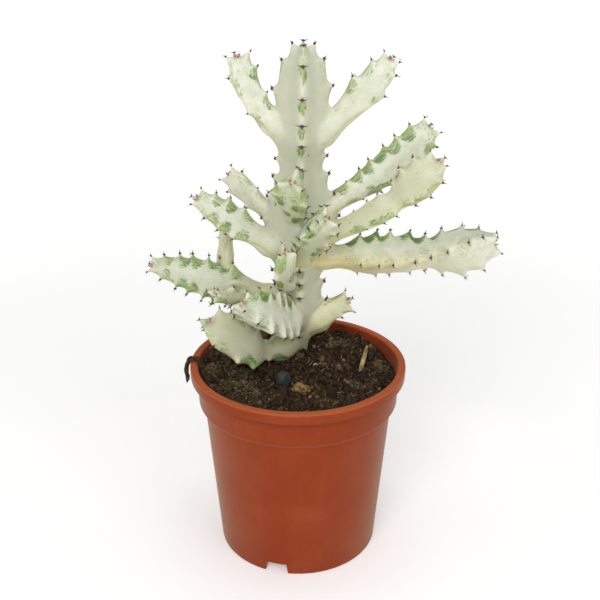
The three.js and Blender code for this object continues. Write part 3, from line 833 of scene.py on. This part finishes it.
def skin_colours(stem, distance, angle, radius, facing_up, rng):
    """How much of each colour and mark the points of one stem carry. The extra grey, cream, neck yellow
    and gold on the undersides is painted shade.
    """
    rib, off = stem.nearest_rib(angle, distance)
    arc = np.abs(off) * stem.turn * radius
    patch, rim = green_patches(stem, distance, arc, rib, np.where(off < 0, -1, 1), rng)
    # below: how far a point faces down. What it adds to neck, gold, cream and grey is painted shade.
    below = smooth(-facing_up * 1.2 + 0.1)
    if stem.is_main:
        neck = 0.2 * smooth(1 - (distance - 20) / 60)
    else:
        bare = smooth(1 - (distance - stem.first * 0.5) / stem.first)
        neck = stem.yellow * bare * (0.3 + 0.45 * below)
    gold = (rib == 1) * bell(arc / 3.5) + 0.6 * below
    return {
        "patch": patch, "rim": rim, "lime": patch * stem.lime, "neck": neck,
        # edge: the rib ridges paler, partly their own pale colour, partly a painted highlight
        "edge": bell(arc / 1.7) * smooth((distance - stem.first * 0.6) / 12),
        "cream": stem.cream + 0.3 * below, "grey": stem.grey + 0.6 * below,
        "gold": stem.gold * gold * smooth(1 - (distance - 35) / 75),
        "scarred": 1.0 if stem.is_main else 0.4,
    }


def plant_skin(stems):
    """All stems as one closed skin, with its colours and marks carried on its points."""
    skins = [bare_object(stem.name + "_skin", *stem.surface()) for stem in stems]
    mesh = cut_or_joined(skins[0], skins[1:], "UNION", "MANIFOLD")
    points = mesh_values(mesh, "co") / MM
    owner, where, second = nearest_stems(stems, points)
    points = filleted(mesh, points, smooth(1.2 - second / SKIN.fillet))
    mesh.vertices.foreach_set("co", (points * MM).ravel())
    mesh.update()
    facing_up = mesh_values(mesh, "normal")[:, 2]
    sharp, soft = ("patch", "rim", "edge", "lime"), ("neck", "cream", "scarred", "gold", "grey")
    fields = {key: np.zeros(len(points)) for key in sharp + soft}
    straight = np.zeros((len(points), 3))
    rng = np.random.default_rng(17)
    for index, stem in enumerate(stems):
        on = owner == index
        distance, angle, radius = where[on].T
        for key, values in skin_colours(stem, distance, angle, radius, facing_up[on], rng).items():
            fields[key][on] = values
        apart = distance + STREAKS_APART * index
        straight[on] = np.stack([radius * np.cos(angle), radius * np.sin(angle), apart], -1)
    clear = smooth(second / 3 - 0.2)
    for key in sharp:
        fields[key] *= clear
    spread = smoothed(mesh, np.stack([fields[key] for key in soft], -1), np.full(len(points), 0.5), 16)
    fields.update(zip(soft, spread.T))
    x, _, z = points.T
    # The skin is darker just above the soil, round the stems' feet.
    fields["grime"] = 0.7 * smooth(1 - (z - 116) / 9) * smooth(1 - np.abs(x - 1) / 25)
    dressed("plant_skin", mesh, stem_skin(), "stem_skin", [stem.name for stem in stems],
            straight=straight, **fields)


def shield_shape(tip, size):
    """A horny scute on a tooth, broad towards the stem's tip and pointed towards its base."""
    points, faces = ball(2)
    across, height, out = points.T
    width = SHIELD.width * (0.62 + 0.38 * height)
    local = np.stack([across * width, height * SHIELD.height - 0.2, out * SHIELD.depth], -1) * size
    axes = np.stack([tip.sideways, tip.along, tip.out])
    return tip.point - tip.out * SHIELD.sunk * size + local @ axes, faces


def spine_shape(tip, hand, size, rng):
    """One slim spine that curls a little towards the stem's tip."""
    way = tip.out * 0.75 + tip.sideways * hand * SPINE.spread + tip.along * SPINE.rise
    way = unit(way + rng.normal(0, 0.09, 3))
    length = SPINE.length * size * rng.uniform(0.8, 1.15)
    share = np.linspace(0, 1, 6)
    start = tip.point + (tip.sideways * hand * 0.55 - tip.out * 0.35) * size
    path = start + way * share[:, None] * length + tip.along * SPINE.curl * share[:, None] ** 2
    radii = SPINE.radius * (1 - share) ** 0.7 * (0.6 + 0.4 * size) + 0.03
    points, faces = strand(path, radii, SPINE.sides)
    return points, faces, [*np.repeat(smooth(share * 1.2 - 0.35), SPINE.sides), 0, 1]


def armed_teeth(stems):
    """The horny scutes on the teeth, and the pair of spines on each."""
    rng = np.random.default_rng(11)
    shields, spines = Heap(), Heap()
    for stem in stems:
        for tip in stem.tooth_tips():
            if tip.point[2] < soil_height(*tip.point[:2]) + 1:
                continue
            size = (0.55 + 0.45 * tip.ripe) * rng.uniform(0.85, 1.1)
            size *= ARMOUR.main_stem if stem.is_main else ARMOUR.side_stem
            size *= ARMOUR.crown if tip.is_crown else 1
            shields.add(*shield_shape(tip, size), 0)
            for hand in (1, -1):
                spines.add(*spine_shape(tip, hand, size, rng))
    horn = shield_horn()
    shields.piece("shields", horn)
    spines.piece("spines", horn)


def leaflet_shape(base, way, across, length, width):
    """A tiny thick leaflet with a pointed tip."""
    points, faces = ball(2)
    x, y, z = points.T[:, :, None]
    share = (z + 1) / 2
    profile = np.sin(np.pi * np.clip(share, 0, 1) ** 0.7) * 0.5 + 0.08
    sideways = across * (x * width * profile)
    thick = np.cross(way, across) * (y * width * 0.45 * profile)
    return base + way * (share * length) + sideways + thick, faces


def growing_points(stems):
    """Red leaflets at the stems' tips, and cream buds above some of the scutes."""
    rng = np.random.default_rng(5)
    leaflets, buds = Heap(), Heap()
    for stem in stems:
        point, along, up, side = (part[-1] for part in (stem.point, stem.along, stem.up, stem.side))
        centre = point - along * CROWN.back * 0.6
        for turn_share in (0.1, 0.45, 0.8):
            angle = 2 * math.pi * turn_share + rng.uniform(-0.3, 0.3)
            out = up * math.cos(angle) + side * math.sin(angle)
            way = unit(along + out * 0.35)
            across = unit(np.cross(way, out))
            leaflets.add(*leaflet_shape(centre + out * 1.2, way, across, rng.uniform(2.0, 2.9), 1.6), 0)
        for tip in stem.tooth_tips():
            if rng.uniform() > BUDS or tip.ripe < 0.5:
                continue
            base = tip.point + tip.along * 0.9 - tip.out * 1.9
            way = unit(tip.along * 0.4 + tip.out)
            buds.add(*leaflet_shape(base, way, tip.sideways, rng.uniform(2, 2.6), 1.7), 0)
    fallen = leaflet_shape(on_soil(6, -39.5, 1.2), np.array([0.9, 0.4, 0.1]), np.array([0, 0, 1]), 2.2, 1.6)
    leaflets.add(*fallen, 0)
    leaflets.piece("leaflets", soft_growth("red_leaflet", "#9d5650", "#d6a698"))
    buds.piece("flower_buds", soft_growth("cream_bud", "#c9ad66", "#e9dcae"))


# ---- pot ---------------------------------------------------------------------------------
def wall_radius(z):
    return POT.foot + (POT.step - POT.foot) * (z / SHELF)


def rounded(corners):
    """An outline from corners of radius, height and how far each is rounded. The ends stay."""
    corners = np.asarray(corners, float)
    points, rounding = corners[:, :2], corners[:, 2]
    outline = [points[0]]
    for before, corner, after, most in zip(points, points[1:], points[2:], rounding[1:]):
        in_length, out_length = np.linalg.norm(before - corner), np.linalg.norm(after - corner)
        cut = min(most, in_length * 0.45, out_length * 0.45)
        start = corner + (before - corner) / in_length * cut
        end = corner + (after - corner) / out_length * cut
        outline += [bow(start, corner, end, share) for share in np.linspace(0, 1, 5)]
    return np.array([*outline, points[-1]])


def spun(outline, sides):
    """A closed shape spun from an outline that starts and ends on the axis."""
    rings = [level_ring(round_about(sides), radius, z) for radius, z in outline[1:-1]]
    ends = [(0, 0, z) for _, z in (outline[0], outline[-1])]
    return np.concatenate([*rings, ends]), tube_faces(len(rings), sides)


def notch_cutter(bearing):
    """A wedge that opens one drain notch in the foot, narrower at its top."""
    half, top_half = NOTCH.width / 2, NOTCH.top_width / 2
    near, far = POT.foot - POT.foot_width - 2.0, POT.foot + 4.0
    section = [(-half, -1), (half, -1), (top_half, NOTCH.height), (-top_half, NOTCH.height)]
    points = [(depth, across, z) for depth in (near, far) for across, z in section]
    faces = [(0, 3, 2, 1), (4, 5, 6, 7)]
    faces += [(i, (i + 1) % 4, 4 + (i + 1) % 4, 4 + i) for i in range(4)]
    return bare_object("notch_wedge", turn(points, bearing), faces)


def pot():
    """The pot, spun in one and then notched. inner marks the wall's inside."""
    height, rim, wall, floor, band = POT.height, POT.rim, POT.wall, POT.floor, POT.band
    inner_foot = POT.foot - POT.foot_width
    under_lip = height - POT.lip
    outline = rounded([
        (0, 0, 0), (POT.pad, 0, 0.6), (POT.pad + 2, floor - 1.5, 1),
        (inner_foot - 1, floor - 1.5, 1), (inner_foot, 0, 0.6), (POT.foot, 0, 1.4),
        (POT.step, SHELF - 1, 1.2), (band, SHELF + 0.6, 1.6), (band + 0.5, under_lip - 0.6, 0.5),
        (rim - 0.3, under_lip, 0.8), (rim, height, 1.1), (POT.mouth, height, 1.0),
        (band - wall, SHELF + 1.5, 1.5), (POT.step - wall, SHELF - 2, 1.5),
        (wall_radius(floor) - wall, floor + wall, 2), (0, floor + wall, 0),
    ])
    shell = bare_object("pot_shell", *spun(outline, POT.sides))
    count = NOTCH.count
    cutters = [notch_cutter(NOTCH.first_bearing + index * 360 / count) for index in range(count)]
    mesh = cut_or_joined(shell, cutters, "DIFFERENCE", "EXACT")
    x, y, z = (mesh_values(mesh, "co") / MM).T
    inner = (np.hypot(x, y) < wall_radius(z) + np.where(z > SHELF, 2.0, -0.6)) & (z > floor)
    dressed("nursery_pot", mesh, pot_plastic(), "pot_plastic", ["pot"], inner=inner)
    mesh.shade_smooth()
    mesh.set_sharp_from_angle(angle=math.radians(POT.sharp_from))


# ---- soil --------------------------------------------------------------------------------
def soil_height(x, y):
    stem_x, stem_y, _ = MAIN_STEM["root"]
    heap = SOIL.mound * bell(np.hypot(x - stem_x, y - stem_y) / SOIL.reach)
    ripple = np.sin(x * 0.31 + 1.2) * np.cos(y * 0.27) + np.sin(x * 0.13 - y * 0.19)
    return SOIL.level + heap - SOIL.tilt * (x + y) + SOIL.bump * ripple


def on_soil(x, y, lift):
    return np.array([x, y, soil_height(x, y) + lift])


def blots(x, y, size, seed):
    """Smooth random heights from -1 to 1 over a plane, about size across."""
    table = np.random.default_rng(seed).uniform(-1, 1, (64, 64))
    u, v = x / size + 500, y / size + 500
    column, row = np.floor(u).astype(int), np.floor(v).astype(int)
    s, t = smooth(u - column), smooth(v - row)
    low, high = (table[column % 64, beside % 64] * (1 - s) + table[(column + 1) % 64, beside % 64] * s
                 for beside in (row, row + 1))
    return low * (1 - t) + high * t


def rough_soil(x, y):
    """The soil's surface with its heaps, clods and crumbs."""
    heap = sum(height * bell(np.hypot(x - middle_x, y - middle_y) / reach)
               for middle_x, middle_y, reach, height in HEAPS)
    clods = np.maximum(blots(x, y, 7.5, 1), -0.35) * 2.0
    crumbs = np.abs(blots(x, y, 3.4, 2)) * 2.3 + blots(x, y, 1.4, 3) * 0.95 - 1.0
    edge = smooth((SOIL.edge - np.hypot(x, y)) / 3)
    return soil_height(x, y) + heap * (0.6 + 0.4 * edge) + (clods + crumbs) * (0.4 + 0.6 * edge)


def soil():
    angles = round_about(SOIL.sides)
    base = POT.floor + POT.wall + 0.3
    gap = POT.wall + 0.6
    side = ((wall_radius(base) - gap, base), (POT.step - gap, SHELF - 2), (SOIL.edge, SHELF + 2.5))
    layers = [level_ring(angles, radius, z) for radius, z in side]
    for share in np.linspace(1, SOIL.last_ring, SOIL.rings):
        ring = level_ring(angles, SOIL.edge * share, 0.0)
        ring[:, 2] = rough_soil(ring[:, 0], ring[:, 1])
        layers.append(ring)
    points = np.concatenate([*layers, [(0, 0, base), (0, 0, rough_soil(0, 0))]])
    x, y, _ = points.T
    mossy = sum(bell(np.hypot(x - middle_x, (y - middle_y) / MOSS_SQUASH) / reach)
                for middle_x, middle_y, reach, _ in MOSS_CUSHIONS)
    piece("peat_surface", points, tube_faces(len(layers), SOIL.sides),
          peat("damp_peat", "#170f0a", "#553f2c", "#83694a"), "peat", ["soil"],
          shade=smooth(blots(x, y, 5, 4) * 0.5 + 0.3), mossy=np.minimum(mossy, 1))


def scattered(rng, count, reach):
    """Random places on the soil, inside a circle."""
    away = reach * np.sqrt(rng.uniform(0, 1, count))
    bearing = rng.uniform(0, 2 * math.pi, count)
    return zip(away * np.cos(bearing), away * np.sin(bearing))


def lump(rng, detail, size):
    """A crumb of no regular shape."""
    shell, faces = ball(detail)
    ways = unit(rng.normal(0, 1, (5, 3)))
    swell = 1 + 0.6 * np.sin(shell @ ways.T * rng.uniform(2, 6, 5)).mean(1)
    swell *= 1 + rng.normal(0, 0.07, len(shell))
    spin = np.linalg.qr(rng.normal(0, 1, (3, 3)))[0]
    return (shell * swell[:, None] * rng.uniform(0.55, 1.3, 3) * size) @ spin, faces


def soil_crumbs():
    """Loose crumbs and clods of peat, a few of them pale. None hides the stones or the straw."""
    rng = np.random.default_rng(21)
    heap = Heap()
    for count, detail, smallest, largest in CRUMBS:
        for x, y in scattered(rng, count, SOIL.edge - 1 - largest):
            size = rng.uniform(smallest, largest)
            if any(math.hypot(x - clear_x, y - clear_y) < reach + size
                   for clear_x, clear_y, reach in KEPT_CLEAR):
                continue
            points, faces = lump(rng, detail, size)
            shade = rng.choice([0.05, 0.5, 0.8, 1.0], p=[0.52, 0.33, 0.13, 0.02])
            heap.add(points + (x, y, rough_soil(x, y)), faces, min(shade, 0.5) if detail > 2 else shade)
    heap.piece("peat_crumbs", peat("peat_crumb", "#1d140d", "#57422f", "#917a57"), "peat")


def soil_fibres():
    """Fine dead roots and fibres that lie on the peat."""
    rng = np.random.default_rng(34)
    heap = Heap()
    for place in scattered(rng, FIBRE.number, SOIL.edge - 4):
        length = rng.uniform(1.5, 5.5)
        heading = rng.uniform(0, 2 * math.pi) + np.cumsum(rng.normal(0, 0.16, FIBRE.points))
        steps = np.stack([np.cos(heading), np.sin(heading)], -1) * length / FIBRE.points
        flat = place + np.cumsum(steps, axis=0)
        flat *= np.minimum(1, (SOIL.edge - 1) / np.linalg.norm(flat, axis=1))[:, None]
        arch = np.linspace(0, rng.uniform(0, 1.6), FIBRE.points)
        z = rough_soil(*flat.T).mean() + 0.5 + arch
        radii = rng.uniform(0.13, 0.34) * np.linspace(1, 0.5, FIBRE.points)
        fibre = strand(np.column_stack([flat, z]), radii, 4)
        heap.add(*fibre, rng.choice([0.1, 0.6, 1], p=[0.5, 0.3, 0.2]))
    heap.piece("peat_fibres", peat("peat_fibre", "#2f2218", "#5a452e", "#b29a6d"), "root")


def moss():
    """Low cushions of moss near the rim and round the stem."""
    rng = np.random.default_rng(8)
    heap = Heap()
    radii = np.array([0.3, 0.36, 0.22, 0.05])
    for centre_x, centre_y, reach, count in MOSS_CUSHIONS:
        for x, y in scattered(rng, count, 1):
            x, y = centre_x + x * reach, centre_y + y * reach * MOSS_SQUASH
            if math.hypot(x, y) > SOIL.edge - 1:
                continue
            way = unit(np.array([rng.normal(0, 0.5), rng.normal(0, 0.5), 1]))
            height = rng.uniform(0.9, 2.2) * (1 - 0.4 * math.hypot(x - centre_x, y - centre_y) / reach)
            foot = np.array([x, y, rough_soil(x, y) - 0.2])
            path = foot + way * np.linspace(0, height, 4)[:, None]
            heap.add(*strand(path, radii, 4), rng.uniform(0, 1))
    heap.piece("moss", stony("moss_olive", "#3b341e", "#877c52", 0.3, 0.9), "peat")


# ---- what lies on the soil ---------------------------------------------------------------
def stone(name, place, size, degrees, seed, material, slot, node, cuts=16, ragged=0.012):
    """A stone or chip with broken faces, its edges a little worn."""
    rng = np.random.default_rng(seed)
    points, faces = ball(5)
    cut_ways = unit(rng.normal(0, 1, (cuts, 3)))
    towards = points @ cut_ways.T
    depths = rng.uniform(0.66, 0.95, cuts)
    reach = np.where(towards > 0.05, depths / np.maximum(towards, 1e-3), np.inf)
    softness = 50
    radius = -np.log(np.exp(-softness * np.minimum(reach, 1.02)).sum(1)) / softness + 0.04
    x, y, z = points.T
    radius += ragged * blots(x * 9, y * 9 + z * 5, 1, seed + 1)
    radius += ragged * blots(y * 4, z * 4 + x * 2, 1, seed + 2)
    shape = points * radius[:, None] * np.array(size) / 2
    piece(name, turn(shape, degrees) + place, faces, material, slot, [node])


def straw():
    """A pale split stalk that stands in the soil."""
    path = curved([(37, 1, 108), (38.6, 4, 115), (40.6, 7.5, 121), (42.4, 11, 126)], 24)
    along = np.linspace(0, 1, len(path))
    split = slice(4, 21)
    heap = Heap()
    heap.add(*strand(path, 1.15 - 0.5 * along ** 4 + 0.1 * np.sin(along * 17), 9), 0)
    half = 0.6 * np.sin(math.pi * along[split]) + 0.1
    heap.add(*strand(path[split] + (0.75, -0.3, -0.5), half, 6), 0)
    heap.piece("pale_straw", stony("straw", "#7d6540", "#cbb888", 0.35, 0.8), "straw", ["straw"])


def root_over_rim():
    """Dark roots twisted together that hang over the pot's rim, with frayed ends."""
    rng = np.random.default_rng(3)
    middle = curved([(-54, -7, 112), (-57, -5, 119), (-60, -2.5, 123), (-64.2, 0, 123),
                     (-67, 0.5, 119.6), (-67.3, -2, 115), (-66.6, -6, 110.5)], 44)
    along = np.linspace(0, 1, len(middle))
    heap = Heap()
    for start, away, radius in ((0, 0.75, 1.15), (2.1, 0.8, 0.95), (4.2, 0.8, 1.0)):
        twist = start + along * 9
        path = middle + away * np.stack([np.cos(twist), np.sin(twist), 0.5 * np.sin(twist + 1)], -1)
        path += rng.normal(0, 0.07, path.shape)
        radii = radius * (1 + 0.25 * np.sin(along * 31 + start)) * (1 - 0.5 * along ** 3)
        heap.add(*strand(path, radii, 8), rng.choice([0.1, 0.4]))
    for start in (8, 12, 16, 19, 22, 25, 28, 31, 34, 37, 40, 42):
        heading = unit(np.array([-0.4, rng.normal(0, 0.9), -0.5 + rng.normal(0, 0.5)]))
        path = middle[start] + heading * np.linspace(0, rng.uniform(2, 3.8), 6)[:, None]
        path += np.cumsum(rng.normal(0, 0.25, path.shape), axis=0)
        path[:, 0] = np.maximum(path[:, 0], -ROOT_REACH)
        heap.add(*strand(path, np.linspace(0.4, 0.12, 6), 5), 0.6)
    heap.piece("hanging_root", peat("dark_root", "#33251b", "#5a4533", "#7b6149"), "root",
               ["root_over_rim"])


# ---- stage -------------------------------------------------------------------------------
def stage():
    """A pale floor that grows brighter away from the pot."""
    rim = level_ring(round_about(FLOOR.sides), FLOOR.radius, -FLOOR.below)
    floor = bare_object("floor", rim, [range(FLOOR.sides)])
    finish = Finish("pale_floor", Roughness=0.9, Emission_Strength=0.72)
    place = finish.place()
    away = Number(finish, finish.node("VectorMath", {"operation": "LENGTH"}, place).outputs["Value"])
    glow = FLOOR.glow
    finish.body = finish.blend(finish.noise(place, 0.004, 2), "#f4f4f2", "#fbfbfa")
    bright = finish.blend(away.rise(FLOOR.near, FLOOR.far), (glow, glow, glow, 1), (1, 1, 1, 1))
    finish.paint("Emission Color", bright)
    floor.data.materials.append(finish.done())


def lights():
    for name, place, size, watts in LAMPS:
        light = bpy.data.lights.new(name, "AREA")
        light.size = size
        light.energy = watts
        lamp = in_scene(name, light)
        lamp.location = place
        lamp.rotation_euler = (Vector(LAMP_AIM) - Vector(place)).to_track_quat("-Z", "Y").to_euler()
    scene = bpy.context.scene
    scene.world = bpy.data.worlds.new("studio")
    scene.world.use_nodes = True
    background = scene.world.node_tree.nodes["Background"]
    background.inputs["Color"].default_value = (1, 1, 1, 1)
    background.inputs["Strength"].default_value = WORLD_BRIGHTNESS
    scene.view_settings.view_transform = "Standard"


def camera():
    tilt = math.radians(CAMERA.elevation)
    away = CAMERA.distance
    lens = bpy.data.cameras.new("photographer")
    lens.lens = CAMERA.lens
    holder = in_scene("photographer", lens)
    height = CAMERA.aim_height + away * math.sin(tilt)
    holder.location = np.array([CAMERA.aside, -away * math.cos(tilt), height]) * MM
    holder.rotation_euler = (math.pi / 2 - tilt, 0, 0)
    bpy.context.scene.camera = holder


# ---- the whole object --------------------------------------------------------------------
camera()
stems = [Stem(spec) for spec in (MAIN_STEM, *SIDE_STEMS)]
plant_skin(stems)
armed_teeth(stems)
growing_points(stems)
pot()
soil()
soil_crumbs()
soil_fibres()
moss()
stone("slate_pebble", on_soil(-8.5, -20, 3.4), (9.8, 9.5, 11.5), 25, 4,
      stony("slate", "#202223", "#46494a", 0.5, 0.8), "slate", "pebble")
stone("pale_grit", on_soil(10.5, 4, 1.2), (3.4, 2.6, 2.4), 60, 9,
      stony("grit", "#8f8672", "#c0b69f", 0.9, 0.85), "pale_grit", "grit")
stone("bark_chip_worn", on_soil(1.5, -29, 2.8), (11.5, 7.5, 6.5), -20, 6,
      stony("bark", "#543d27", "#a8854f", 0.6, 0.9), "bark", "bark_chip", 11, 0.12)
straw()
root_over_rim()
stage()
lights()
